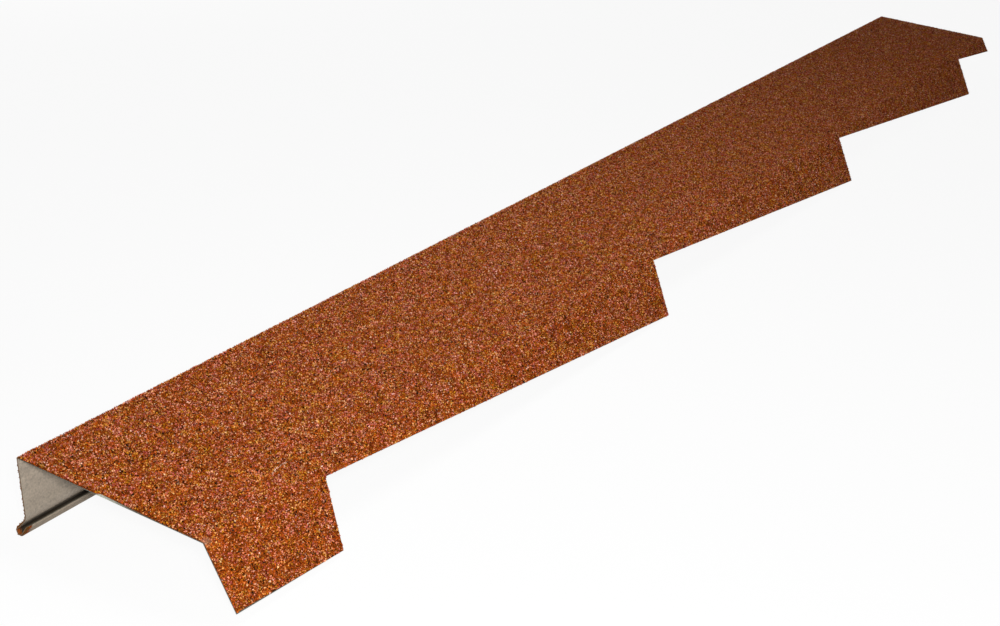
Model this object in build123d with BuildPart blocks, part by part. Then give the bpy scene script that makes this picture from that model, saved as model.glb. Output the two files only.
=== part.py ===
from build123d import *
from math import asin, atan2, ceil, cos, degrees, radians, sin, tan
import os

# Stepped gable flashing: one sheet of stone-coated steel, sheared and folded.
# It lies as it rests on a level floor, on its hem and the tips of its teeth.
# Lengths are in millimetres and angles in degrees.

# Sheet
steel_gauge = 0.45
coat_depth = 0.75
fold_inside_radius = 0.6

# Length, and the steps sheared into the apron for the tile courses
length = 1291.0
batten_pitch = 368.0
first_step = 86.2
tooth_depth = 43.3
notch_depth = 5.8
step_slant = 15.4

# The first tooth is sheared a little flatter, where the next length laps under it
lap_end_depth = 36.2
lap_tip_depth = 41.5

# Section, measured on the coated face
cover_width = 117.4
apron_slope = 55.8
fascia_depth = 34.1
fascia_fold = 82.7
kick_angle = 40.0
kick_depth = 9.2
hem_radius = 2.8
lip_depth = 6.0

# Worked out from the sizes above
sheet = steel_gauge + coat_depth
fold_outside_radius = fold_inside_radius + sheet
step_count = ceil((length - first_step) / batten_pitch)
step_shift = (tooth_depth - notch_depth) * tan(radians(step_slant))
lap_tip = first_step - (lap_tip_depth - notch_depth) * tan(radians(step_slant))
lap_fall = (lap_tip_depth - lap_end_depth) / lap_tip
blank_depth = tooth_depth + fold_outside_radius

# Corners of the section on the coated face: X runs across the cover and Y runs down from it
along_apron = Vector(cos(radians(apron_slope)), sin(radians(apron_slope)))
along_fascia = Vector(cos(radians(fascia_fold)), sin(radians(fascia_fold)))
along_kick = Vector(-sin(radians(kick_angle)), cos(radians(kick_angle)))
into_hem = Vector(cos(radians(kick_angle)), sin(radians(kick_angle)))
into_apron = Vector(-sin(radians(apron_slope)), cos(radians(apron_slope)))

ridge = Vector(0, 0)
eave = Vector(cover_width, 0)
tooth_tip = eave + along_apron * tooth_depth
blank_end = eave + along_apron * blank_depth
kick = ridge + along_fascia * fascia_depth
hem_start = kick + along_kick * kick_depth
hem_centre = hem_start + into_hem * hem_radius

# The cover falls towards the apron until the hem and the inner corners of the teeth are level
foot = tooth_tip + into_apron * sheet
span = foot - hem_centre
rest_tilt = degrees(asin(hem_radius / span.length) - atan2(span.Y, span.X))
outward = Vector(cos(radians(rest_tilt)), -sin(radians(rest_tilt)))
downward = Vector(sin(radians(rest_tilt)), cos(radians(rest_tilt)))

# The part's origin is under the middle of its box, on the floor
fascia_side = hem_centre.dot(outward) - hem_radius
apron_side = tooth_tip.dot(outward)
ridge_place = Vector(-length / 2, (fascia_side + apron_side) / 2, foot.dot(downward))
section_plane = Plane(
    origin=ridge_place,
    x_dir=(0, -outward.X, outward.Y),
    z_dir=(1, 0, 0),
)
# On the apron X runs along the length and Y runs down the slope from the eave fold
apron_plane = Plane(
    origin=section_plane.from_local_coords(eave),
    x_dir=(1, 0, 0),
    z_dir=section_plane.from_local_coords(into_apron) - section_plane.origin,
)

with BuildPart() as gable_flashing:
    # Folded blank, with the apron still uncut
    with BuildSketch(section_plane):
        with BuildLine():
            folds = FilletPolyline(
                blank_end,
                eave,
                ridge,
                kick,
                hem_start,
                radius=[fold_outside_radius, fold_outside_radius, fold_inside_radius],
            )
            hem = JernArc(start=folds @ 1, tangent=folds % 1, radius=hem_radius, arc_size=-180)
            PolarLine(start=hem @ 1, length=lip_depth, direction=hem % 1)
            offset(amount=sheet, side=Side.RIGHT)
        make_face()
    extrude(amount=length)

    # Sawtooth edge: from each step the next tooth runs down to its tip at the step after
    with BuildSketch(apron_plane):
        with BuildLine():
            sawtooth = [
                (-first_step, lap_end_depth - lap_fall * first_step),
                (lap_tip, lap_tip_depth),
                (first_step, notch_depth),
            ]
            for number in range(1, step_count + 1):
                step = first_step + number * batten_pitch
                sawtooth.append((step - step_shift, tooth_depth))
                sawtooth.append((step, notch_depth))
            waste_depth = blank_depth + fold_outside_radius
            waste_corners = [(sawtooth[-1][0], waste_depth), (sawtooth[0][0], waste_depth)]
            Polyline(*sawtooth, *waste_corners, close=True)
        make_face()
    extrude(amount=fold_outside_radius, both=True, mode=Mode.SUBTRACT)

gable_flashing.part.label = "gable_flashing"

os.makedirs("parts", exist_ok=True)
export_step(gable_flashing.part, "parts/gable_flashing.step")
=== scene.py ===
"""Stone-coated gable flashing: a folded steel sheet, its coat of stone chips, and a plain studio stage."""

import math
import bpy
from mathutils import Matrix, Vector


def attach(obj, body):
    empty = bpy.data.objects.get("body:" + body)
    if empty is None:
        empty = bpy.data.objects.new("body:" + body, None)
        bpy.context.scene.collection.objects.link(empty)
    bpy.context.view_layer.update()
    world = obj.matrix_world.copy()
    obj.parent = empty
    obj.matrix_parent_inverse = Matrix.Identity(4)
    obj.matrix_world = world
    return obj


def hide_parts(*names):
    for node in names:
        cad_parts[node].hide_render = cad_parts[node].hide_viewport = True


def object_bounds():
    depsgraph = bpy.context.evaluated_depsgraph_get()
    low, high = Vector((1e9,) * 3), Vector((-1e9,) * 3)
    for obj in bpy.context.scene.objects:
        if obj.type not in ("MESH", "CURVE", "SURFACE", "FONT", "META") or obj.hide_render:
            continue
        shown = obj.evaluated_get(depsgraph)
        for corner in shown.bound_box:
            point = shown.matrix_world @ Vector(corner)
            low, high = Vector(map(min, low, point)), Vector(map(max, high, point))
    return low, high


bl_info = {
    "name": "Gable flashing",
    "version": (1, 0, 0),
    "blender": (4, 5, 0),
    "location": "View3D > Sidebar > Flashing",
    "description": "Shears, folds and stone-coats a stepped gable flashing",
    "category": "Object",
}

from typing import NamedTuple

import bpy
import numpy as np
from bpy.props import FloatProperty, FloatVectorProperty, IntProperty, PointerProperty
from bpy.types import NodeSocket, Operator, Panel, PropertyGroup
from mathutils import Quaternion, Vector

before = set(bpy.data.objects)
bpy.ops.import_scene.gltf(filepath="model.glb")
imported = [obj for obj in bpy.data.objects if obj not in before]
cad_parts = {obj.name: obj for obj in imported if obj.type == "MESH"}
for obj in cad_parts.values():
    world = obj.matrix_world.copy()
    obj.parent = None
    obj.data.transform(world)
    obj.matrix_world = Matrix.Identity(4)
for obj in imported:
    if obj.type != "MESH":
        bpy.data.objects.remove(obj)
cad_low, cad_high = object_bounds()

NODE = "gable_flashing"
BODY = "root"
PAINTED_SLOT = 1
BAKE_MAP = "OFBake"

MM = 0.001
RIGHT_ANGLE = math.pi / 2
FULL_TURN = 2 * math.pi


# Settings

def size(name, description, millimetres):
    """Length setting, given in millimetres."""
    return FloatProperty(
        name=name, description=description, default=millimetres * MM, unit="LENGTH", precision=5
    )


def angle(name, description, degrees):
    """Angle setting, given in degrees."""
    return FloatProperty(
        name=name, description=description, default=math.radians(degrees), subtype="ANGLE"
    )


def colour(name, description, red, green, blue):
    """Colour setting, given as linear light."""
    return FloatVectorProperty(
        name=name, description=description, default=(red, green, blue), min=0.0, max=1.0, subtype="COLOR"
    )


def share(name, description, default):
    """Setting that is a share of something, from none to all of it."""
    return FloatProperty(
        name=name, description=description, default=default, min=0.0, max=1.0, subtype="FACTOR"
    )


def metres(name, description, default):
    """Length setting, given in metres."""
    return FloatProperty(name=name, description=description, default=default, unit="LENGTH")


def power(name, description, default):
    """Lamp setting, given in watts."""
    return FloatProperty(name=name, description=description, default=default, unit="POWER")


def place(name, description, x, y, z):
    """Point setting, given in metres."""
    return FloatVectorProperty(
        name=name, description=description, default=(x, y, z), subtype="TRANSLATION", unit="LENGTH"
    )


class FlashingSheet(PropertyGroup):
    """Sizes of the sheet, measured on its coated face."""

    length: size("Length", "Length of the sheet", (cad_high.x - cad_low.x) / MM)
    steel_gauge: size("Steel gauge", "Thickness of the bare steel", 0.45)
    coat_depth: size("Coat depth", "Thickness of the coat on the steel", 0.75)
    fold_inside_radius: size("Fold radius", "Radius inside each fold", 0.6)
    batten_pitch: size("Batten pitch", "Distance from one step of the apron to the next", 368.0)
    first_step: size("First step", "Distance of the first step from the near end", 86.2)
    tooth_depth: size("Tooth depth", "Depth of the apron at a tooth's tip", 43.3)
    notch_depth: size("Notch depth", "Depth of the apron at a step's inner corner", 5.8)
    step_slant: angle("Step slant", "Slant of a step's edge", 15.4)
    lap_end_depth: size("Lap end depth", "Depth of the first tooth at the near end", 36.2)
    lap_tip_depth: size("Lap tip depth", "Depth of the first tooth at its tip", 41.5)
    cover_width: size("Cover width", "Width of the flat cover", 117.4)
    apron_slope: angle("Apron slope", "Angle by which the apron falls from the cover", 55.8)
    fascia_depth: size("Fascia depth", "Depth of the upright fascia above the kick", 34.1)
    fascia_fold: angle("Fascia fold", "Angle between the cover and the fascia", 82.7)
    kick_angle: angle("Kick angle", "Angle by which the kick stands out", 40.0)
    kick_depth: size("Kick depth", "Depth of the kick above the hem", 9.2)
    kick_radius: size("Kick radius", "Radius of the soft bend above the kick", 6.0)
    hem_radius: size("Hem radius", "Radius of the rounded hem", 2.8)
    hem_turn: angle("Hem turn", "Angle by which the hem is turned back", 189.0)
    lip_depth: size("Lip depth", "Depth of the hem's lip", 6.0)


class FlashingCoat(PropertyGroup):
    """Sizes of the coat of binder and stone chips."""

    bed_depth: size("Bed depth", "Thickness of the base coat between the chips", 0.35)
    lip_depth: size("Lip coat depth", "Thickness of the base coat on the bare lip", 0.7)
    bed_margin: size("Bed margin", "Bare steel between the base coat and the cut edges", 0.1)
    chip_margin: size("Chip margin", "Distance of the outermost chips' middles from the cut edges", 0.3)
    chip_start: angle("Chip start", "How far round the hem from the lip the chips start", 60.0)
    bare_width: size("Bare width", "Widest bare steel along the near end of the cover", 1.2)
    bare_start: share("Bare start", "Where the bare steel starts, as a share of the way to the eave", 0.435)
    bare_middle: share("Bare middle", "Where the bare steel is widest", 0.455)
    bare_end: share("Bare end", "Where the bare steel ends", 0.80)
    lap_bare: size("Lap bare width", "Bare steel along the first tooth's cut edge, at the near end", 0.6)
    worn_place: place(
        "Worn place", "Where the coat is worn at the near corner of the eave fold", -0.6436, -0.0500, 0.0375
    )
    worn_reach: size("Worn reach", "How far the wear spreads", 3.4)
    scratch_place: place("Scratch place", "Middle of the scratch in the cover", -0.57415, -0.03484, 0.0)
    scratch_turn: angle("Scratch turn", "Direction of the scratch from the length", 6.4)
    scratch_radius: size("Scratch radius", "Radius of the scratch's curve", 21.7)
    scratch_length: size("Scratch length", "Length of the scratch", 15.0)
    scratch_width: size("Scratch width", "Width of the scratch", 1.0)
    chip_spacing: size("Chip spacing", "Least distance from chip to chip", 0.73)
    chip_seat: size("Chip seat", "Depth of the chips' middles below the coated face", 0.22)
    chip_small: size("Smallest chip", "Length of the smallest chips", 0.75)
    chip_large: size("Largest chip", "Length of the largest chips", 1.65)
    chip_chipped: share("Irregularity", "How far a chip's corners stray, as a share of its length", 0.22)
    seed: IntProperty(name="Seed", description="Seed of the chips' places and shapes", default=11)


class FlashingFinish(PropertyGroup):
    """Colours of the sheet and its coat."""

    rust: colour("Rust", "Most of the chips", 0.46, 0.090, 0.009)
    burnt: colour("Burnt", "Darker chips", 0.33, 0.062, 0.007)
    salmon: colour("Salmon", "Pinkish chips", 0.47, 0.112, 0.075)
    ochre: colour("Ochre", "Yellowish chips", 0.46, 0.180, 0.012)
    charcoal: colour("Charcoal", "A few nearly black chips", 0.018, 0.010, 0.007)
    cream: colour("Cream", "A few pale chips", 0.76, 0.480, 0.360)
    binder: colour("Binder", "Base coat between the chips", 0.34, 0.070, 0.008)
    # Painted shade: the share of a chip's colour that is left on grains darkened as if shaded in pits
    pits: colour("Pits", "Share of a chip's colour that is left in its pits", 0.25, 0.06, 0.005)
    dust: colour("Dust", "Pale dust on the chips", 0.84, 0.43, 0.25)
    mauve: colour("Mauve", "Tint of the patches where chips are pinker", 1.0, 0.84, 1.0)
    olive: colour("Olive", "Tint of the patches where chips are yellower", 1.0, 1.0, 0.45)
    worn: colour("Worn", "Coat worn at a corner", 0.38, 0.180, 0.110)
    # Painted shade: a near-black colour laid inside the hem and on the foot of the kick, where the groove
    # lies in shade
    painted_hem_shade: colour("Grime", "Dirt inside the hem", 0.030, 0.022, 0.014)
    primer: colour("Primer", "Painted back of the sheet", 0.292, 0.242, 0.188)
    primer_shade: colour("Primer shade", "Duller patches of the painted back", 0.255, 0.214, 0.166)
    steel: colour("Steel", "Cut edges of the steel", 0.09, 0.083, 0.060)
    # Painted reflection: the bare zinc is given a pale colour for the bright backdrop that it reflects
    zinc: colour("Zinc", "Bare zinc at the near end of the cover", 0.50, 0.52, 0.43)
    # Dark colour for the painted shade on the ends of the fascia and hem; also the colour of the overspray
    # specks in the hem
    edge: colour("Edge", "Chips at the ends of the fascia and hem", 0.115, 0.052, 0.008)


class FlashingStage(PropertyGroup):
    """Floor, lights and camera."""

    camera_place: place("Camera place", "Where the camera stands", -1.09835, -0.46175, 0.40539)
    camera_aim: place("Camera aim", "What the camera looks at", -0.35019, -0.02621, 0.04167)
    camera_roll: angle("Camera roll", "Turn of the camera about its view", 2.212)
    lens: FloatProperty(
        name="Lens", description="Focal length of the camera", default=56.063, unit="CAMERA"
    )
    lamp_aim: place("Lamp aim", "What the lamps point at", -0.40, 0.0, 0.03)
    front_place: place("Front lamp place", "Where the lamp beside the camera stands", -1.12, -0.50, 0.46)
    front_width: metres("Front lamp width", "Width of the lamp beside the camera", 0.12)
    front_power: power("Front lamp power", "Power of the lamp beside the camera", 9.0)
    top_place: place("Top lamp place", "Where the lamp overhead hangs", -0.36, -0.15, 0.62)
    top_width: metres("Top lamp width", "Width of the lamp overhead", 0.3)
    top_power: power("Top lamp power", "Power of the lamp overhead", 1.6)
    back_place: place("Back lamp place", "Where the lamp behind the fascia stands", 0.70, 1.60, 0.14)
    back_width: metres("Back lamp width", "Width of the lamp behind the fascia", 0.4)
    back_power: power("Back lamp power", "Power of the lamp behind the fascia", 16.0)
    sky_level: share("Sky level", "Strength of the light from all round", 0.08)
    floor_colour: colour("Floor", "Floor and backdrop", 0.86, 0.86, 0.86)
    floor_glow: share("Floor glow", "How far the floor shows as plain white", 0.92)
    floor_width: metres("Floor width", "Width of the floor", 30.0)
    floor_drop: size("Floor drop", "Gap under the sheet for the chips on its hem", 0.8)


# Shape of the sheet

class Fold(NamedTuple):
    """One fold: where it starts on the flat sheet, its radius on the coated face and its angle.

    A fold towards the coated face has a negative radius and angle."""

    name: str
    start: float
    radius: float
    angle: float

    @property
    def end(self):
        return self.start + self.radius * self.angle


class Tooth(NamedTuple):
    """One tooth of the apron: its ends along the notch line, and the ends of its cut edge.

    An end of the cut edge is a place along the length and a depth below the eave corner."""

    start: float
    end: float
    edge_start: tuple
    edge_end: tuple


FOLD_PARTS = ("Start", "Radius", "Angle")
FOLD_STEPS = 10
FOLD_SUPPORT = 0.3 * MM
COVER_STRIPS = 4


def outside_radius(sheet):
    """Radius of the ridge and eave folds on the coated face."""
    return sheet.fold_inside_radius + sheet.steel_gauge + sheet.coat_depth


def plan_folds(sheet):
    """The four folds, in order across the flat sheet from the end of the hem's lip."""
    outside = outside_radius(sheet)
    kick_turn = sheet.kick_angle + RIGHT_ANGLE - sheet.fascia_fold
    ridge_turn = math.pi - sheet.fascia_fold
    kick_trim = sheet.kick_radius * math.tan(kick_turn / 2)
    ridge_trim = outside * math.tan(ridge_turn / 2)
    eave_trim = outside * math.tan(sheet.apron_slope / 2)
    hem = Fold("Hem", sheet.lip_depth, sheet.hem_radius, sheet.hem_turn)
    kick = Fold("Kick", hem.end + sheet.kick_depth - kick_trim, -sheet.kick_radius, -kick_turn)
    ridge = Fold("Ridge", kick.end + sheet.fascia_depth - kick_trim - ridge_trim, outside, ridge_turn)
    eave = Fold("Eave", ridge.end + sheet.cover_width - ridge_trim - eave_trim, outside, sheet.apron_slope)
    return hem, kick, ridge, eave


def apron_start(sheet):
    """Place of the eave corner on the flat sheet, from which depths down the apron are measured."""
    eave = plan_folds(sheet)[-1]
    return eave.end - outside_radius(sheet) * math.tan(sheet.apron_slope / 2)


def plan_teeth(sheet, margin):
    """The apron's teeth, drawn back from every cut edge by a margin."""
    slant = math.tan(sheet.step_slant)
    notch = sheet.notch_depth - margin
    fall = (sheet.tooth_depth - sheet.notch_depth) / (
        sheet.batten_pitch - (sheet.tooth_depth - sheet.notch_depth) * slant
    )
    teeth = []
    start = margin
    edge_start = (margin, sheet.lap_end_depth - margin)
    tip_depth = sheet.lap_tip_depth
    step = sheet.first_step
    while step < sheet.length:
        end = step - margin
        edge_end = (end - (tip_depth - sheet.notch_depth) * slant, tip_depth - margin)
        teeth.append(Tooth(start, end, edge_start, edge_end))
        start = end
        edge_start = (end, notch)
        tip_depth = sheet.tooth_depth
        step += sheet.batten_pitch
    end = sheet.length - margin
    teeth.append(Tooth(start, end, edge_start, (end, notch + fall * (end - start))))
    return teeth


def heading(turn):
    """Direction in the section, turned from across the cover towards straight down."""
    return Vector((math.cos(turn), math.sin(turn)))


def resting_place(sheet):
    """Turn and place of the lip's end when the sheet lies on its hem and the tips of its teeth."""
    into_hem = heading(sheet.kick_angle)
    along_kick = heading(sheet.kick_angle + RIGHT_ANGLE)
    kick = heading(sheet.fascia_fold) * sheet.fascia_depth
    hem_centre = kick + along_kick * sheet.kick_depth + into_hem * sheet.hem_radius
    lip_turn = sheet.kick_angle + 3 * RIGHT_ANGLE - sheet.hem_turn
    lip_start = hem_centre + heading(lip_turn - RIGHT_ANGLE) * sheet.hem_radius
    lip_end = lip_start - heading(lip_turn) * sheet.lip_depth
    tip = Vector((sheet.cover_width, 0.0)) + heading(sheet.apron_slope) * sheet.tooth_depth
    foot = tip + heading(sheet.apron_slope + RIGHT_ANGLE) * (sheet.steel_gauge + sheet.coat_depth)
    span = foot - hem_centre
    tilt = math.asin(sheet.hem_radius / span.length) - math.atan2(span.y, span.x)
    level = heading(-tilt)
    plumb = heading(RIGHT_ANGLE - tilt)
    middle = (hem_centre.dot(level) - sheet.hem_radius + tip.dot(level)) / 2
    lip_place = Vector((
        cad_low.x,
        middle - lip_end.dot(level),
        foot.dot(plumb) - lip_end.dot(plumb),
    ))
    return lip_turn + tilt, lip_place


def cover_rows(sheet):
    """Edges of the strips that the cover is divided into, across the flat sheet."""
    ridge, eave = plan_folds(sheet)[2:]
    strip = (eave.start - ridge.end) / COVER_STRIPS
    return [ridge.end + strip * number for number in range(COVER_STRIPS)] + [eave.start]


def fold_rows(sheet, start, end, extra=()):
    """Places across the flat sheet where its mesh needs a row, close together in the folds."""
    folds = plan_folds(sheet)
    rows = [start, end, *extra]
    for fold in folds:
        rows += [fold.start - FOLD_SUPPORT, fold.end + FOLD_SUPPORT]
        rows += [fold.start + (fold.end - fold.start) * step / FOLD_STEPS for step in range(FOLD_STEPS + 1)]
    return sorted(row for row in rows if start <= row <= end)


def bare_rows(sheet, coat):
    """Start, widest place and end of the cover's bare strip, across the flat sheet."""
    ridge, eave = plan_folds(sheet)[2:]
    width = eave.start - ridge.end
    return [ridge.end + width * way for way in (coat.bare_start, coat.bare_middle, coat.bare_end)]


def coat_start(sheet, coat, row):
    """Width of steel that the coat leaves bare at the near end, at a place across the flat sheet."""
    return float(np.interp(row, bare_rows(sheet, coat), (0.0, coat.bare_width, 0.0)))


def bed_top(sheet, coat, row):
    """Depth of the base coat's surface, thick on the lip and thinner under the chips."""
    hem = plan_folds(sheet)[0]
    rise = (hem.start, hem.start + hem.radius * coat.chip_start)
    depths = (sheet.coat_depth - coat.lip_depth, sheet.coat_depth - coat.bed_depth)
    return float(np.interp(row, rise, depths))


def sheared_blank(sheet, rows, margin, toothed, coat=None):
    """Points and faces of a flat stretch of the sheet, coated face up, with its teeth if it has them."""
    teeth = plan_teeth(sheet, margin)
    if coat:
        along, depth = teeth[0].edge_start
        teeth[0] = teeth[0]._replace(edge_start=(along, depth - coat.lap_bare))
    ends = [tooth.end for tooth in teeth]
    wide = len(ends) + 1
    points = []
    for row in rows:
        near = margin + (coat_start(sheet, coat, row) if coat else 0.0)
        points += [(along, -row) for along in (near, *ends)]
    faces = []
    for row in range(len(rows) - 1):
        for corner in range(row * wide, (row + 1) * wide - 1):
            faces.append([corner, corner + wide, corner + wide + 1, corner + 1])
    if toothed:
        top = len(points) - wide
        datum = apron_start(sheet)
        for number, tooth in enumerate(teeth):
            face = [top + number]
            for along, depth in (tooth.edge_start, tooth.edge_end):
                if depth > sheet.notch_depth:
                    face.append(len(points))
                    points.append((along, -datum - depth))
            faces.append(face + [top + number + 1])
    return points, faces


def closed_layer(points, faces, tops, bottom):
    """Points and faces of a flat layer, with a depth for each point of its top and one for its bottom.

    Gives also how many of its faces aren't edges."""
    count = len(points)
    sides = {}
    for face in faces:
        for first, second in zip(face, face[1:] + face[:1]):
            sides[first, second] = True
    rim = [side for side in sides if side[::-1] not in sides]
    solid_points = [(x, y, -top) for (x, y), top in zip(points, tops)]
    solid_points += [(x, y, -bottom) for x, y in points]
    underside = [[corner + count for corner in reversed(face)] for face in faces]
    edges = [[second, first, first + count, second + count] for first, second in rim]
    return solid_points, faces + underside + edges, 2 * len(faces)


# Node helpers

NONE_TO_ALL = (0.0, 1.0)
ALL_TO_NONE = (1.0, 0.0)


def add_node(tree, kind, inputs=None, **settings):
    """Adds a node with its settings, and sets its inputs to values or links them to sockets."""
    node = tree.nodes.new(kind)
    for name, value in settings.items():
        setattr(node, name, value)
    for key, value in (inputs or {}).items():
        if isinstance(key, int):
            socket = node.inputs[key]
        else:
            socket = next(each for each in node.inputs if each.enabled and each.name == key)
        if isinstance(value, NodeSocket):
            tree.links.new(value, socket)
        else:
            socket.default_value = value
    return node


def result(node, name=None):
    """First live output of a node, or the one of that name."""
    return next(each for each in node.outputs if each.enabled and name in (None, each.name))


def calculate(tree, operation, first, second=0.0):
    """Result of a calculation on two values or sockets."""
    return result(add_node(tree, "ShaderNodeMath", {0: first, 1: second}, operation=operation))


def product(tree, first, second):
    """Product of two values or sockets."""
    return calculate(tree, "MULTIPLY", first, second)


def spread(tree, value, target, source=NONE_TO_ALL):
    """Value taken from one range to another, and held at its ends."""
    return result(add_node(tree, "ShaderNodeMapRange", {
        "Value": value, "From Min": source[0], "From Max": source[1],
        "To Min": target[0], "To Max": target[1],
    }))


def random_value(tree, low, high, seed, **others):
    """Random number or vector between two limits, another one for each element."""
    kind = "FLOAT_VECTOR" if isinstance(low, tuple) else "FLOAT"
    inputs = {"Min": low, "Max": high, "Seed": seed, **others}
    return result(add_node(tree, "FunctionNodeRandomValue", inputs, data_type=kind))


def point_place(tree):
    """Place of each point of a mesh, or of each instance."""
    return result(tree.nodes.new("GeometryNodeInputPosition"))


def new_tree(name, sockets):
    """Geometry tree with named inputs. Gives the tree, its input node and its output node."""
    tree = bpy.data.node_groups.new(name, "GeometryNodeTree")
    tree.interface.new_socket("Geometry", in_out="OUTPUT", socket_type="NodeSocketGeometry")
    tree.interface.new_socket("Geometry", in_out="INPUT", socket_type="NodeSocketGeometry")
    for socket, kind in sockets.items():
        tree.interface.new_socket(socket, in_out="INPUT", socket_type=kind)
    return tree, tree.nodes.new("NodeGroupInput"), tree.nodes.new("NodeGroupOutput")


def apply_tree(piece, tree, values):
    """Gives a piece a tree as a modifier, with its named inputs set."""
    modifier = piece.modifiers.new(tree.name, "NODES")
    modifier.node_group = tree
    for item in tree.interface.items_tree:
        if item.in_out == "INPUT" and item.name in values:
            modifier[item.identifier] = values[item.name]


# Folding

def bend_tree():
    """Tree that bends a flat sheet down at one fold, by each point's place across the flat sheet."""
    tree, given, output = new_tree("bend", dict.fromkeys(FOLD_PARTS, "NodeSocketFloat"))
    start, radius, sweep = (given.outputs[part] for part in FOLD_PARTS)
    across = add_node(tree, "GeometryNodeInputNamedAttribute", {"Name": "across"}, data_type="FLOAT")
    end = calculate(tree, "ADD", start, product(tree, radius, sweep))
    turn = spread(tree, result(across), (0.0, sweep), (start, end))
    arc = product(tree, radius, turn)
    run = product(tree, radius, calculate(tree, "SINE", turn))
    rise = product(tree, radius, calculate(tree, "COSINE", turn))
    centre = add_node(tree, "ShaderNodeCombineXYZ", {
        "Y": calculate(tree, "SUBTRACT", product(tree, start, -1.0), arc),
    })
    shift = add_node(tree, "ShaderNodeCombineXYZ", {
        "Y": calculate(tree, "SUBTRACT", arc, run),
        "Z": calculate(tree, "SUBTRACT", rise, radius),
    })
    turned = add_node(tree, "ShaderNodeVectorRotate", {
        "Vector": point_place(tree), "Center": result(centre), "Angle": turn,
    }, rotation_type="X_AXIS")
    bent = add_node(tree, "GeometryNodeSetPosition", {
        "Geometry": given.outputs["Geometry"], "Position": result(turned), "Offset": result(shift),
    })
    tree.links.new(result(bent), output.inputs["Geometry"])
    return tree


def folding_tree(folds):
    """Tree that folds a flat sheet up, the farthest fold first, and lays it in its resting place."""
    sockets = {}
    for fold in folds:
        for part in FOLD_PARTS:
            sockets[f"{fold.name} {part}"] = "NodeSocketFloat"
    sockets.update({"Turn": "NodeSocketFloat", "Place": "NodeSocketVector"})
    tree, given, output = new_tree("folding", sockets)
    bend = bend_tree()
    geometry = given.outputs["Geometry"]
    for fold in reversed(folds):
        inputs = {part: given.outputs[f"{fold.name} {part}"] for part in FOLD_PARTS}
        inputs["Geometry"] = geometry
        geometry = result(add_node(tree, "GeometryNodeGroup", inputs, node_tree=bend))
    turn = add_node(tree, "ShaderNodeCombineXYZ", {"X": given.outputs["Turn"]})
    laid = add_node(tree, "GeometryNodeTransform", {
        "Geometry": geometry, "Rotation": result(turn), "Translation": given.outputs["Place"],
    })
    tree.links.new(result(laid), output.inputs["Geometry"])
    return tree


def fold_up(piece, sheet):
    """Folds a flat piece and makes the result its plain mesh."""
    folds = plan_folds(sheet)
    turn, lip_place = resting_place(sheet)
    values = {"Turn": turn, "Place": lip_place}
    for fold in folds:
        for part in FOLD_PARTS:
            values[f"{fold.name} {part}"] = getattr(fold, part.lower())
    tree = bpy.data.node_groups.get("folding") or folding_tree(folds)
    apply_tree(piece, tree, values)
    flat = piece.data
    graph = bpy.context.evaluated_depsgraph_get()
    shown = piece.evaluated_get(graph)
    mesh = bpy.data.meshes.new_from_object(shown, preserve_all_data_layers=True, depsgraph=graph)
    piece.modifiers.clear()
    piece.data = mesh
    bpy.data.meshes.remove(flat)
    mesh.name = piece.name


def add_object(name, data):
    """Object with that data, linked to the scene."""
    thing = bpy.data.objects.new(name, data)
    bpy.context.scene.collection.objects.link(thing)
    return thing


def new_piece(name, points, faces):
    """Object with a mesh of those points and faces, which knows each point's place across the flat sheet."""
    mesh = bpy.data.meshes.new(name)
    mesh.from_pydata(points, [], faces)
    across = mesh.attributes.new("across", "FLOAT", "POINT")
    across.data.foreach_set("value", [-point[1] for point in points])
    return add_object(name, mesh)


SHARP_FROM = math.radians(40.0)


def shade_smooth(mesh):
    """Smooth shading round the folds, with the cut edges left sharp."""
    mesh.shade_smooth()
    mesh.set_sharp_from_angle(angle=SHARP_FROM)


# Materials

class Pattern(NamedTuple):
    """Noise of one look: its patches in a metre, its detail, and the range that it is taken to.

    Patches that are drawn out have a number of patches for each axis."""

    patches: float | tuple
    detail: float
    low: float = 0.0
    high: float = 1.0


class Relief(NamedTuple):
    """How strongly a surface is roughened, and how deep."""

    strength: float
    depth: float


NOISE_RANGE = (0.3, 0.7)

# Painted back
PAINT_PATCHES = Pattern(14.0, 4.0)
PAINT_STREAKS = Pattern((6.0, 260.0, 260.0), 3.0, 0.86, 1.08)
PAINT_SPECKLE = Pattern(900.0, 3.0, 0.78, 1.20)
PAINT_SHEEN = Pattern(90.0, 3.0, 0.42, 0.62)
PAINT_GRAIN = Pattern(900.0, 2.0)
PAINT_RELIEF = Relief(0.25, 0.1 * MM)
# Painted shade in the hem: how far it fades in before the hem and how far it reaches up the kick; the first
# width also fades the lip's plain grey
SHADE_AND_LIP_FADE = 1.0 * MM
PAINTED_SHADE_RISE = 3.0 * MM

# Stone colour sprayed on the ends of the sheet, and painted shade on the ends of the fascia and hem
SPRAY_EDGE = Pattern(900.0, 2.0, 0.6, 1.6)
SPRAY_SPECKLE = Pattern(1500.0, 2.0)
SPRAY_CORE = 0.7
HEM_SPRAY = 2.4 * MM
LIP_SPRAY = 4.0 * MM
# Painted shade on the ends of the fascia and hem: its reach from the ends, its fade below the ridge, and its
# strength
END_SHADE_REACH = 1.2 * MM
END_SHADE_FADE = 1.0 * MM
END_SHADE_STRENGTH = 0.8

# Cut steel
BLADE_MARKS = Pattern((700.0, 700.0, 90.0), 3.0, 0.7, 1.15)
STEEL_SHEEN = Pattern(400.0, 2.0, 0.38, 0.6)
STEEL_METAL = 0.2

# Coat as a whole
GRAINS = 1700.0
COAT_BLOTCHES = Pattern(120.0, 3.0, 0.84, 1.16)
WEAR_EDGE = Pattern(700.0, 2.0, 0.6, 1.5)
WEAR_CORE = 0.4
WEAR_STRENGTH = 0.5
SCRATCH_TAPER = (0.45, 0.5)
SCRATCH_EDGE = (0.3, 0.6)

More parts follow.
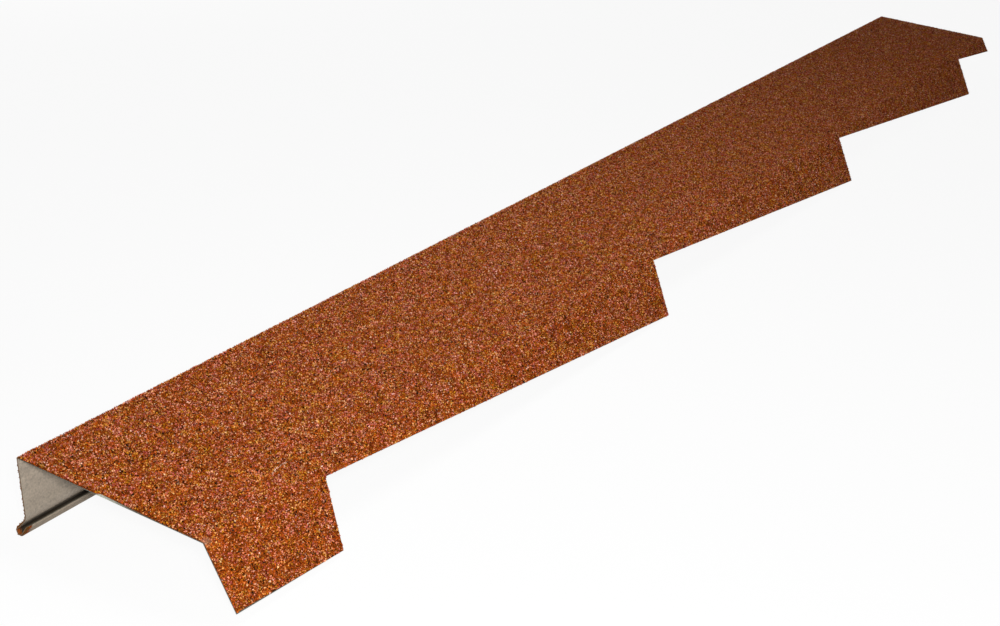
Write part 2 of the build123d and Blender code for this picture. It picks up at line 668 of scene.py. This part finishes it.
# Base coat
GRAIN_EDGE = (0.15, 0.75)
GRAIN_TONES = (0.20, 1.6)
GRAIN_SHADE = (0.35, 1.1)
LIP_SPECKLE = Pattern(500.0, 3.0, 0.85, 1.1)
BED_SHEEN = (0.85, 0.6)
BED_GLOSS = 0.03
BED_RELIEF = Relief(0.9, 0.4 * MM)

# Chips: where each kind starts in the range of tones, and what is laid over their colours
CHIP_KINDS = {"charcoal": 0.0, "burnt": 0.06, "rust": 0.25, "salmon": 0.60, "ochre": 0.80, "cream": 0.98}
CHIP_SHARE = 0.65
GRAIN_SHARE = 0.35
PIT_SHADE_LEVELS = (0.08, 0.5)
DUST_LEVELS = (0.58, 0.95)
DUST_STRENGTH = 0.9
HUE_PATCHES = Pattern(160.0, 1.0)
MAUVE_LEVELS = (0.35, 0.5)
OLIVE_LEVELS = (0.5, 0.65)
CHIP_SHEEN = (0.28, 0.60)
CHIP_GLOSS = 0.015
CHIP_GRAIN = Pattern(3000.0, 2.0)
CHIP_RELIEF = Relief(0.35, 0.08 * MM)


def new_material(name):
    """Material with its tree and its shader node."""
    material = bpy.data.materials.new(name)
    material.use_nodes = True
    return material, material.node_tree, material.node_tree.nodes["Principled BSDF"]


def opaque(rgb):
    """Colour with its alpha."""
    return (*rgb, 1.0)


def object_place(tree):
    """Place in the object's own coordinates."""
    return result(tree.nodes.new("ShaderNodeTexCoord"), "Object")


def stored(tree, name):
    """Value of that name that the mesh stores."""
    return result(add_node(tree, "ShaderNodeAttribute", attribute_name=name), "Fac")


def rising(tree, value, start, end):
    """Nought up to a start, and one from an end on."""
    return spread(tree, value, NONE_TO_ALL, (start, end))


def falling(tree, value, start, end):
    """One up to a start, and nought from an end on."""
    return spread(tree, value, ALL_TO_NONE, (start, end))


def within(tree, value, rise, fall):
    """One between a rise and a fall, and nought outside them."""
    return product(tree, rising(tree, value, *rise), falling(tree, value, *fall))


def noise(tree, pattern):
    """Noise of a pattern, on the object's own coordinates."""
    where = object_place(tree)
    scale = pattern.patches
    if isinstance(scale, tuple):
        where = result(add_node(tree, "ShaderNodeMapping", {"Vector": where, "Scale": scale}))
        scale = 1.0
    cloud = add_node(tree, "ShaderNodeTexNoise", {"Vector": where, "Scale": scale, "Detail": pattern.detail})
    return result(cloud, "Fac")


def patterned(tree, pattern):
    """Noise of a pattern, taken to its range."""
    return spread(tree, noise(tree, pattern), (pattern.low, pattern.high), NOISE_RANGE)


def grains(tree):
    """Small grains of the coat: the distance from a grain's middle, and a random value for each grain."""
    cells = add_node(tree, "ShaderNodeTexVoronoi", {"Vector": object_place(tree), "Scale": GRAINS})
    tint = add_node(tree, "ShaderNodeSeparateColor", {"Color": result(cells, "Color")})
    return result(cells, "Distance"), result(tint, "Red")


def mix(tree, factor, first, second, blend_type="MIX"):
    """Mix of two colours."""
    sockets = {"Factor": factor, "A": first, "B": second}
    return result(add_node(tree, "ShaderNodeMix", sockets, data_type="RGBA", blend_type=blend_type))


def times(tree, first, second):
    """Product of a colour with a value or another colour."""
    return mix(tree, 1.0, first, second, "MULTIPLY")


def dress(tree, shader, base, sheen):
    """Gives a shader its colour and its roughness."""
    tree.links.new(base, shader.inputs["Base Color"])
    tree.links.new(sheen, shader.inputs["Roughness"])


def roughen(tree, shader, height, relief):
    """Roughens a shader's surface."""
    node = add_node(tree, "ShaderNodeBump", {
        "Height": height, "Strength": relief.strength, "Distance": relief.depth,
    })
    tree.links.new(result(node), shader.inputs["Normal"])


def sprayed(tree, length, reach):
    """How far the chips' colour covers a place, within reach of both ends of the sheet."""
    where = add_node(tree, "ShaderNodeSeparateXYZ", {"Vector": object_place(tree)})
    end = calculate(tree, "SUBTRACT", length / 2, calculate(tree, "ABSOLUTE", result(where, "X")))
    ragged = product(tree, end, patterned(tree, SPRAY_EDGE))
    return falling(tree, ragged, SPRAY_CORE * reach, reach)


def end_shade(tree, ridge, length):
    """How far painted shade darkens the ends of the fascia and hem at a place."""
    below_ridge = spread(
        tree, stored(tree, "across"), (END_SHADE_STRENGTH, 0.0), (ridge.end, ridge.end + END_SHADE_FADE)
    )
    return product(tree, sprayed(tree, length, END_SHADE_REACH), below_ridge)


def flat_place(tree):
    """Place on the object, seen from above."""
    here = add_node(tree, "ShaderNodeSeparateXYZ", {"Vector": object_place(tree)})
    return result(add_node(tree, "ShaderNodeCombineXYZ", {"X": result(here, "X"), "Y": result(here, "Y")}))


def away(tree, where, point):
    """Distance of a place from a point."""
    return result(add_node(tree, "ShaderNodeVectorMath", {0: where, 1: point}, operation="DISTANCE"))


def scratched(tree, coat):
    """How far a place lies in the scratch."""
    where = flat_place(tree)
    middle = Vector((coat.scratch_place[0], coat.scratch_place[1], 0.0))
    inward = Vector((math.sin(coat.scratch_turn), -math.cos(coat.scratch_turn), 0.0))
    centre = middle + inward * coat.scratch_radius
    off_circle = calculate(tree, "SUBTRACT", away(tree, where, centre), coat.scratch_radius)
    off_curve = calculate(tree, "ABSOLUTE", off_circle)
    along = falling(tree, away(tree, where, middle), *(coat.scratch_length * part for part in SCRATCH_TAPER))
    inside = falling(tree, off_curve, *(coat.scratch_width * part for part in SCRATCH_EDGE))
    return product(tree, along, inside)


def worn_off(tree, coat):
    """How far the coat is worn at a place."""
    distance = away(tree, object_place(tree), coat.worn_place)
    ragged = product(tree, distance, patterned(tree, WEAR_EDGE))
    return spread(tree, ragged, (WEAR_STRENGTH, 0.0), (WEAR_CORE * coat.worn_reach, coat.worn_reach))


def primer_material(finish, hem, length):
    """Dull paint on the back of the sheet, mottled and drawn out along the sheet, with painted shade in the
    hem.
    """
    material, tree, shader = new_material("primer_back")
    paint = mix(tree, patterned(tree, PAINT_PATCHES), opaque(finish.primer), opaque(finish.primer_shade))
    paint = times(tree, paint, patterned(tree, PAINT_STREAKS))
    paint = times(tree, paint, patterned(tree, PAINT_SPECKLE))
    # Painted shade: the hem and the foot of the kick darkened where the groove lies in shade; the same
    # stretch takes the overspray at the ends
    rise = (hem.start - SHADE_AND_LIP_FADE, hem.start)
    inside = within(tree, stored(tree, "across"), rise, (hem.end, hem.end + PAINTED_SHADE_RISE))
    paint = mix(tree, inside, paint, opaque(finish.painted_hem_shade))
    dust = mix(tree, patterned(tree, SPRAY_SPECKLE), opaque(finish.edge), opaque(finish.burnt))
    paint = mix(tree, product(tree, sprayed(tree, length, HEM_SPRAY), inside), paint, dust)
    dress(tree, shader, paint, patterned(tree, PAINT_SHEEN))
    roughen(tree, shader, noise(tree, PAINT_GRAIN), PAINT_RELIEF)
    return material


def steel_material(finish, ridge, bare, length):
    """Sheared edge of the steel with the blade's marks, bright zinc at the bare strip, its brightness a
    painted reflection, and painted shade at the ends.
    """
    material, tree, shader = new_material("cut_steel")
    start, middle, end = bare
    # Painted reflection: the pale zinc colour laid on the bare strip
    painted_sheen = within(tree, stored(tree, "across"), (start, middle), (middle, (middle + end) / 2))
    metal = mix(tree, painted_sheen, opaque(finish.steel), opaque(finish.zinc))
    metal = times(tree, metal, patterned(tree, BLADE_MARKS))
    # Painted shade on the ends of the fascia and hem
    metal = mix(tree, end_shade(tree, ridge, length), metal, opaque(finish.edge))
    dress(tree, shader, metal, patterned(tree, STEEL_SHEEN))
    shader.inputs["Metallic"].default_value = STEEL_METAL
    return material


def binder_material(finish, coat, lip_end, ridge, length):
    """Base coat with the dust and small grains that fill it, painted shade between the grains and at the
    ends of the fascia and hem, and plain grey on the lip.
    """
    material, tree, shader = new_material("binder")
    distance, tint = grains(tree)
    lump = falling(tree, distance, *GRAIN_EDGE)
    depth = product(tree, spread(tree, tint, GRAIN_TONES), patterned(tree, COAT_BLOTCHES))
    # Painted shade: the base coat darker away from each grain's middle, between the grains
    shaded = product(tree, depth, spread(tree, lump, GRAIN_SHADE))
    filled = times(tree, opaque(finish.binder), shaded)
    # Painted shade on the ends of the fascia and hem
    filled = mix(tree, end_shade(tree, ridge, length), filled, opaque(finish.edge))
    plain = product(
        tree,
        falling(tree, stored(tree, "across"), lip_end - SHADE_AND_LIP_FADE, lip_end),
        calculate(tree, "SUBTRACT", 1.0, sprayed(tree, length, LIP_SPRAY)),
    )
    grey = times(tree, opaque(finish.primer), patterned(tree, LIP_SPECKLE))
    surface = mix(tree, worn_off(tree, coat), mix(tree, plain, filled, grey), opaque(finish.worn))
    dress(tree, shader, surface, spread(tree, lump, BED_SHEEN))
    shader.inputs["Specular IOR Level"].default_value = BED_GLOSS
    roughen(tree, shader, calculate(tree, "MAXIMUM", lump, plain), BED_RELIEF)
    return material


def chip_kinds(tree, finish):
    """Colour of a chip, by its tone."""
    ramp = add_node(tree, "ShaderNodeValToRGB", {"Fac": stored(tree, "tone")})
    ramp.color_ramp.interpolation = "CONSTANT"
    stops = ramp.color_ramp.elements
    while len(stops) < len(CHIP_KINDS):
        stops.new(1.0)
    for stop, (kind, position) in zip(stops, CHIP_KINDS.items()):
        stop.position = position
        stop.color = opaque(getattr(finish, kind))
    return result(ramp, "Color")


def stone_material(finish, coat, ridge, length):
    """Stone chips: each has one colour, its own share of pits with painted shade and of pale dust, and a
    fine grain, with painted shade at the ends of the fascia and hem.
    """
    material, tree, shader = new_material("stone_chips")
    depth = stored(tree, "depth")
    _, tint = grains(tree)
    level = calculate(
        tree, "ADD", spread(tree, depth, (0.0, CHIP_SHARE)), spread(tree, tint, (0.0, GRAIN_SHARE))
    )
    hue = noise(tree, HUE_PATCHES)
    body = times(tree, chip_kinds(tree, finish), patterned(tree, COAT_BLOTCHES))
    # Painted shade: grains at low levels darkened by the pits colour, as shade in pits
    body = mix(tree, falling(tree, level, *PIT_SHADE_LEVELS), body, times(tree, body, opaque(finish.pits)))
    body = mix(tree, spread(tree, level, (0.0, DUST_STRENGTH), DUST_LEVELS), body, opaque(finish.dust))
    body = mix(tree, falling(tree, hue, *MAUVE_LEVELS), body, opaque(finish.mauve), "MULTIPLY")
    body = mix(tree, rising(tree, hue, *OLIVE_LEVELS), body, opaque(finish.olive), "MULTIPLY")
    # Painted shade on the ends of the fascia and hem
    body = mix(tree, end_shade(tree, ridge, length), body, opaque(finish.edge))
    body = mix(tree, worn_off(tree, coat), body, opaque(finish.worn))
    body = mix(tree, scratched(tree, coat), body, opaque(finish.cream))
    dress(tree, shader, body, spread(tree, depth, CHIP_SHEEN))
    shader.inputs["Specular IOR Level"].default_value = CHIP_GLOSS
    roughen(tree, shader, noise(tree, CHIP_GRAIN), CHIP_RELIEF)
    return material


# Pieces

def carry(piece):
    """Makes a finished piece ride on the flashing."""
    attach(piece, BODY)


class FLASHING_OT_folded_sheet(Operator):
    """Shear the steel sheet and fold it"""

    bl_idname = "flashing.folded_sheet"
    bl_label = "Folded sheet"

    def execute(self, context):
        sheet = context.scene.flashing_sheet
        finish = context.scene.flashing_finish
        rows = fold_rows(sheet, 0.0, apron_start(sheet) + sheet.notch_depth)
        points, faces = sheared_blank(sheet, rows, 0.0, True)
        thick = sheet.coat_depth + sheet.steel_gauge
        points, faces, painted = closed_layer(points, faces, [sheet.coat_depth] * len(points), thick)
        piece = new_piece("folded_sheet", points, faces)
        fold_up(piece, sheet)
        hem, _, ridge, _ = plan_folds(sheet)
        bare = bare_rows(sheet, context.scene.flashing_coat)
        piece.data.materials.append(steel_material(finish, ridge, bare, sheet.length))
        piece.data.materials.append(primer_material(finish, hem, sheet.length))
        for face in piece.data.polygons[painted // 2:painted]:
            face.material_index = PAINTED_SLOT
        shade_smooth(piece.data)
        carry(piece)
        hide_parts(NODE)
        return {"FINISHED"}


class FLASHING_OT_binder_bed(Operator):
    """Lay the base coat that the chips sit in"""

    bl_idname = "flashing.binder_bed"
    bl_label = "Binder bed"

    def execute(self, context):
        sheet = context.scene.flashing_sheet
        coat = context.scene.flashing_coat
        notch = apron_start(sheet) + sheet.notch_depth - coat.bed_margin
        rows = fold_rows(sheet, coat.bed_margin, notch, bare_rows(sheet, coat))
        points, faces = sheared_blank(sheet, rows, coat.bed_margin, True, coat)
        tops = [bed_top(sheet, coat, -y) for _, y in points]
        points, faces, _ = closed_layer(points, faces, tops, sheet.coat_depth)
        piece = new_piece("binder_bed", points, faces)
        fold_up(piece, sheet)
        hem, _, ridge, _ = plan_folds(sheet)
        lip_end = hem.start + hem.radius * coat.chip_start
        finish = context.scene.flashing_finish
        piece.data.materials.append(binder_material(finish, coat, lip_end, ridge, sheet.length))
        shade_smooth(piece.data)
        carry(piece)
        return {"FINISHED"}


CHIP_SIDES = 3
CHIP_CORNERS = 12
CHIP_BASE = 0.47
CHIP_HEIGHT = 0.67
CHIP_MIDDLE = CHIP_HEIGHT / 4
CHIP_PROPORTIONS = ((0.80, 0.80, 0.70), (1.20, 1.20, 1.00))
CHIP_CROWDING = 3.0
CHIP_DRAWS = 5


def chip_tree():
    """Tree that strews angular chips over a flat stretch of sheet, each with its tone and depth."""
    sizes = ("Spacing", "Smallest", "Largest", "Irregularity", "Lowest")
    sockets = dict.fromkeys(sizes, "NodeSocketFloat")
    sockets.update({"Seed": "NodeSocketInt", "Stone": "NodeSocketMaterial"})
    tree, given, output = new_tree("stone_chips", sockets)
    seed = given.outputs["Seed"]
    shape_draw, turn_draw, tone_draw, depth_draw = (
        calculate(tree, "ADD", seed, float(number)) for number in range(1, CHIP_DRAWS)
    )
    spacing = given.outputs["Spacing"]
    crowded = calculate(tree, "DIVIDE", CHIP_CROWDING, calculate(tree, "POWER", spacing, 2.0))
    places = add_node(tree, "GeometryNodeDistributePointsOnFaces", {
        "Mesh": given.outputs["Geometry"], "Distance Min": spacing, "Density Max": crowded, "Seed": seed,
    }, distribute_method="POISSON")
    shard = add_node(tree, "GeometryNodeMeshCone", {
        "Vertices": CHIP_SIDES, "Radius Top": 0.0, "Radius Bottom": CHIP_BASE, "Depth": CHIP_HEIGHT,
    }, fill_type="NGON")
    chip = add_node(tree, "GeometryNodeTransform", {
        "Geometry": result(shard, "Mesh"), "Translation": (0.0, 0.0, -CHIP_MIDDLE),
    })
    length = random_value(tree, given.outputs["Smallest"], given.outputs["Largest"], seed)
    proportions = random_value(tree, *CHIP_PROPORTIONS, shape_draw)
    scale = add_node(tree, "ShaderNodeVectorMath", {0: proportions, "Scale": length}, operation="SCALE")
    turn = random_value(tree, (0.0, 0.0, 0.0), (FULL_TURN, FULL_TURN, FULL_TURN), turn_draw)
    strewn = result(add_node(tree, "GeometryNodeInstanceOnPoints", {
        "Points": result(places, "Points"), "Instance": result(chip),
        "Rotation": turn, "Scale": result(scale),
    }))
    middle = add_node(tree, "ShaderNodeSeparateXYZ", {"Vector": point_place(tree)})
    facts = {
        "tone": random_value(tree, 0.0, 1.0, tone_draw),
        "depth": random_value(tree, 0.0, 1.0, depth_draw),
        "across": product(tree, result(middle, "Y"), -1.0),
    }
    for name, value in facts.items():
        strewn = result(add_node(tree, "GeometryNodeStoreNamedAttribute", {
            "Geometry": strewn, "Name": name, "Value": value,
        }, data_type="FLOAT", domain="INSTANCE"))
    solid = result(add_node(tree, "GeometryNodeRealizeInstances", {"Geometry": strewn}))
    index = result(tree.nodes.new("GeometryNodeInputIndex"))
    corner = random_value(tree, (-1.0, -1.0, -1.0), (1.0, 1.0, 1.0), seed, ID=index)
    stray = product(tree, given.outputs["Irregularity"], given.outputs["Smallest"])
    offset = add_node(tree, "ShaderNodeVectorMath", {0: corner, "Scale": stray}, operation="SCALE")
    rough = add_node(tree, "GeometryNodeSetPosition", {"Geometry": solid, "Offset": result(offset)})
    here = add_node(tree, "ShaderNodeSeparateXYZ", {"Vector": point_place(tree)})
    above = add_node(tree, "ShaderNodeCombineXYZ", {
        "X": result(here, "X"), "Y": result(here, "Y"),
        "Z": calculate(tree, "MAXIMUM", result(here, "Z"), given.outputs["Lowest"]),
    })
    seated = add_node(tree, "GeometryNodeSetPosition", {
        "Geometry": result(rough), "Position": result(above),
    })
    facets = add_node(tree, "GeometryNodeSetShadeSmooth", {
        "Geometry": result(seated), "Shade Smooth": False,
    })
    stone = add_node(tree, "GeometryNodeSetMaterial", {
        "Geometry": result(facets), "Material": given.outputs["Stone"],
    })
    tree.links.new(result(stone), output.inputs["Geometry"])
    return tree


CELL_TRIANGLE = np.array([(0.1, 0.1), (0.9, 0.1), (0.5, 0.9)])


def map_chips(mesh):
    """Gives each chip a cell of its own in a UV map for its colour."""
    corner = np.arange(len(mesh.loops))
    chip = corner // CHIP_CORNERS
    side = math.ceil(math.sqrt(len(mesh.loops) / CHIP_CORNERS))
    cell = np.stack([chip % side, chip // side], axis=1)
    layer = mesh.uv_layers.new(name=BAKE_MAP)
    spots = (cell + CELL_TRIANGLE[corner % len(CELL_TRIANGLE)]) / side
    layer.uv.foreach_set("vector", spots.astype(np.float32).ravel())


class FLASHING_OT_stone_chips(Operator):
    """Strew stone chips over the hem, fascia, cover and apron"""

    bl_idname = "flashing.stone_chips"
    bl_label = "Stone chips"

    def execute(self, context):
        sheet = context.scene.flashing_sheet
        coat = context.scene.flashing_coat
        hem, kick, ridge, eave = plan_folds(sheet)
        notch = apron_start(sheet) + sheet.notch_depth - coat.chip_margin
        stretches = {
            "hem_chips": (hem.start + hem.radius * coat.chip_start, kick.end),
            "fascia_chips": (kick.end, ridge.end),
        }
        strips = cover_rows(sheet)
        for number, rows in enumerate(zip(strips, strips[1:]), start=1):
            stretches[f"cover_chips_{number}"] = rows
        stretches["apron_chips"] = (eave.start, notch)
        stone = stone_material(context.scene.flashing_finish, coat, ridge, sheet.length)
        tree = chip_tree()
        for number, (name, (start, end)) in enumerate(stretches.items()):
            rows = [start, *(row for row in bare_rows(sheet, coat) if start < row < end), end]
            points, faces = sheared_blank(sheet, rows, coat.chip_margin, end == notch, coat)
            piece = new_piece(name, [(x, y, -coat.chip_seat) for x, y in points], faces)
            apply_tree(piece, tree, {
                "Spacing": coat.chip_spacing, "Smallest": coat.chip_small, "Largest": coat.chip_large,
                "Irregularity": coat.chip_chipped, "Lowest": -sheet.coat_depth, "Seed": coat.seed + number,
                "Stone": stone,
            })
            fold_up(piece, sheet)
            map_chips(piece.data)
            carry(piece)
        return {"FINISHED"}


# Stage

WHITE = (1.0, 1.0, 1.0)
NEAREST_SEEN = 0.01


def point_at(thing, where, aim, roll=0.0):
    """Stands a light or the camera somewhere and points it."""
    look = Vector(aim) - Vector(where)
    thing.rotation_mode = "QUATERNION"
    thing.rotation_quaternion = look.to_track_quat("-Z", "Y") @ Quaternion((0.0, 0.0, 1.0), roll)
    thing.location = where


def add_lamp(name, where, aim, width, watts):
    """Square soft lamp, pointed at something."""
    lamp = bpy.data.lights.new(name, "AREA")
    lamp.size = width
    lamp.energy = watts
    point_at(add_object(name, lamp), where, aim)


def seen_directly(tree):
    """One where the camera, a reflection or a clear material sees it, and nought for other light."""
    path = tree.nodes.new("ShaderNodeLightPath")
    seen = calculate(tree, "MAXIMUM", path.outputs["Is Camera Ray"], path.outputs["Is Glossy Ray"])
    return calculate(tree, "MAXIMUM", seen, path.outputs["Is Transmission Ray"])


def floor_material(stage):
    """Pale floor that shows nearly white and keeps a soft shadow."""
    material, tree, _ = new_material("floor")
    tree.nodes.clear()
    matt = add_node(tree, "ShaderNodeBsdfDiffuse", {"Color": opaque(stage.floor_colour)})
    white = add_node(tree, "ShaderNodeEmission", {"Strength": 1.0})
    glow = product(tree, seen_directly(tree), stage.floor_glow)
    both = add_node(tree, "ShaderNodeMixShader", {0: glow, 1: result(matt), 2: result(white)})
    output = tree.nodes.new("ShaderNodeOutputMaterial")
    tree.links.new(result(both), output.inputs["Surface"])
    return material


def light_sky(stage):
    """Even light from all round, seen as white."""
    world = bpy.data.worlds.new("studio")
    bpy.context.scene.world = world
    world.use_nodes = True
    tree = world.node_tree
    level = spread(tree, seen_directly(tree), (stage.sky_level, 1.0))
    background = tree.nodes["Background"]
    background.inputs["Color"].default_value = opaque(WHITE)
    tree.links.new(level, background.inputs["Strength"])


class FLASHING_OT_stage(Operator):
    """Lay the floor, set the lights and stand the camera where the picture is taken from"""

    bl_idname = "flashing.stage"
    bl_label = "Stage"

    def execute(self, context):
        stage = context.scene.flashing_stage
        half = stage.floor_width / 2
        level = cad_low.z - stage.floor_drop
        corners = [(-half, -half, level), (half, -half, level), (half, half, level), (-half, half, level)]
        mesh = bpy.data.meshes.new("floor")
        mesh.from_pydata(corners, [], [range(len(corners))])
        mesh.materials.append(floor_material(stage))
        add_object("floor", mesh)
        add_lamp("front_lamp", stage.front_place, stage.lamp_aim, stage.front_width, stage.front_power)
        add_lamp("top_lamp", stage.top_place, stage.lamp_aim, stage.top_width, stage.top_power)
        add_lamp("back_lamp", stage.back_place, stage.lamp_aim, stage.back_width, stage.back_power)
        light_sky(stage)
        camera = bpy.data.cameras.new("camera")
        camera.lens = stage.lens
        camera.clip_start = NEAREST_SEEN
        stand = add_object("camera", camera)
        point_at(stand, stage.camera_place, stage.camera_aim, stage.camera_roll)
        context.scene.camera = stand
        context.scene.view_settings.view_transform = "Standard"
        return {"FINISHED"}


# Sidebar and registration

STEPS = (FLASHING_OT_folded_sheet, FLASHING_OT_binder_bed, FLASHING_OT_stone_chips, FLASHING_OT_stage)
SETTINGS = {
    "flashing_sheet": FlashingSheet,
    "flashing_coat": FlashingCoat,
    "flashing_finish": FlashingFinish,
    "flashing_stage": FlashingStage,
}


class FLASHING_PT_sidebar(Panel):
    """Steps of making the flashing, and their settings"""

    bl_label = "Gable flashing"
    bl_space_type = "VIEW_3D"
    bl_region_type = "UI"
    bl_category = "Flashing"

    def draw(self, context):
        for step in STEPS:
            self.layout.operator(step.bl_idname)
        for name, group in SETTINGS.items():
            box = self.layout.box()
            box.label(text=group.__doc__)
            for setting in group.__annotations__:
                box.prop(getattr(context.scene, name), setting)


CLASSES = (*SETTINGS.values(), *STEPS, FLASHING_PT_sidebar)


def register():
    """Make the settings, steps and panel known."""
    for each in CLASSES:
        bpy.utils.register_class(each)
    for name, group in SETTINGS.items():
        setattr(bpy.types.Scene, name, PointerProperty(type=group))


def unregister():
    """Take the settings, steps and panel away again."""
    for name in SETTINGS:
        delattr(bpy.types.Scene, name)
    for each in reversed(CLASSES):
        bpy.utils.unregister_class(each)


def main():
    """Make the flashing and its stage."""
    register()
    bpy.ops.flashing.folded_sheet()
    bpy.ops.flashing.binder_bed()
    bpy.ops.flashing.stone_chips()
    bpy.ops.flashing.stage()


if __name__ == "__main__":
    main()
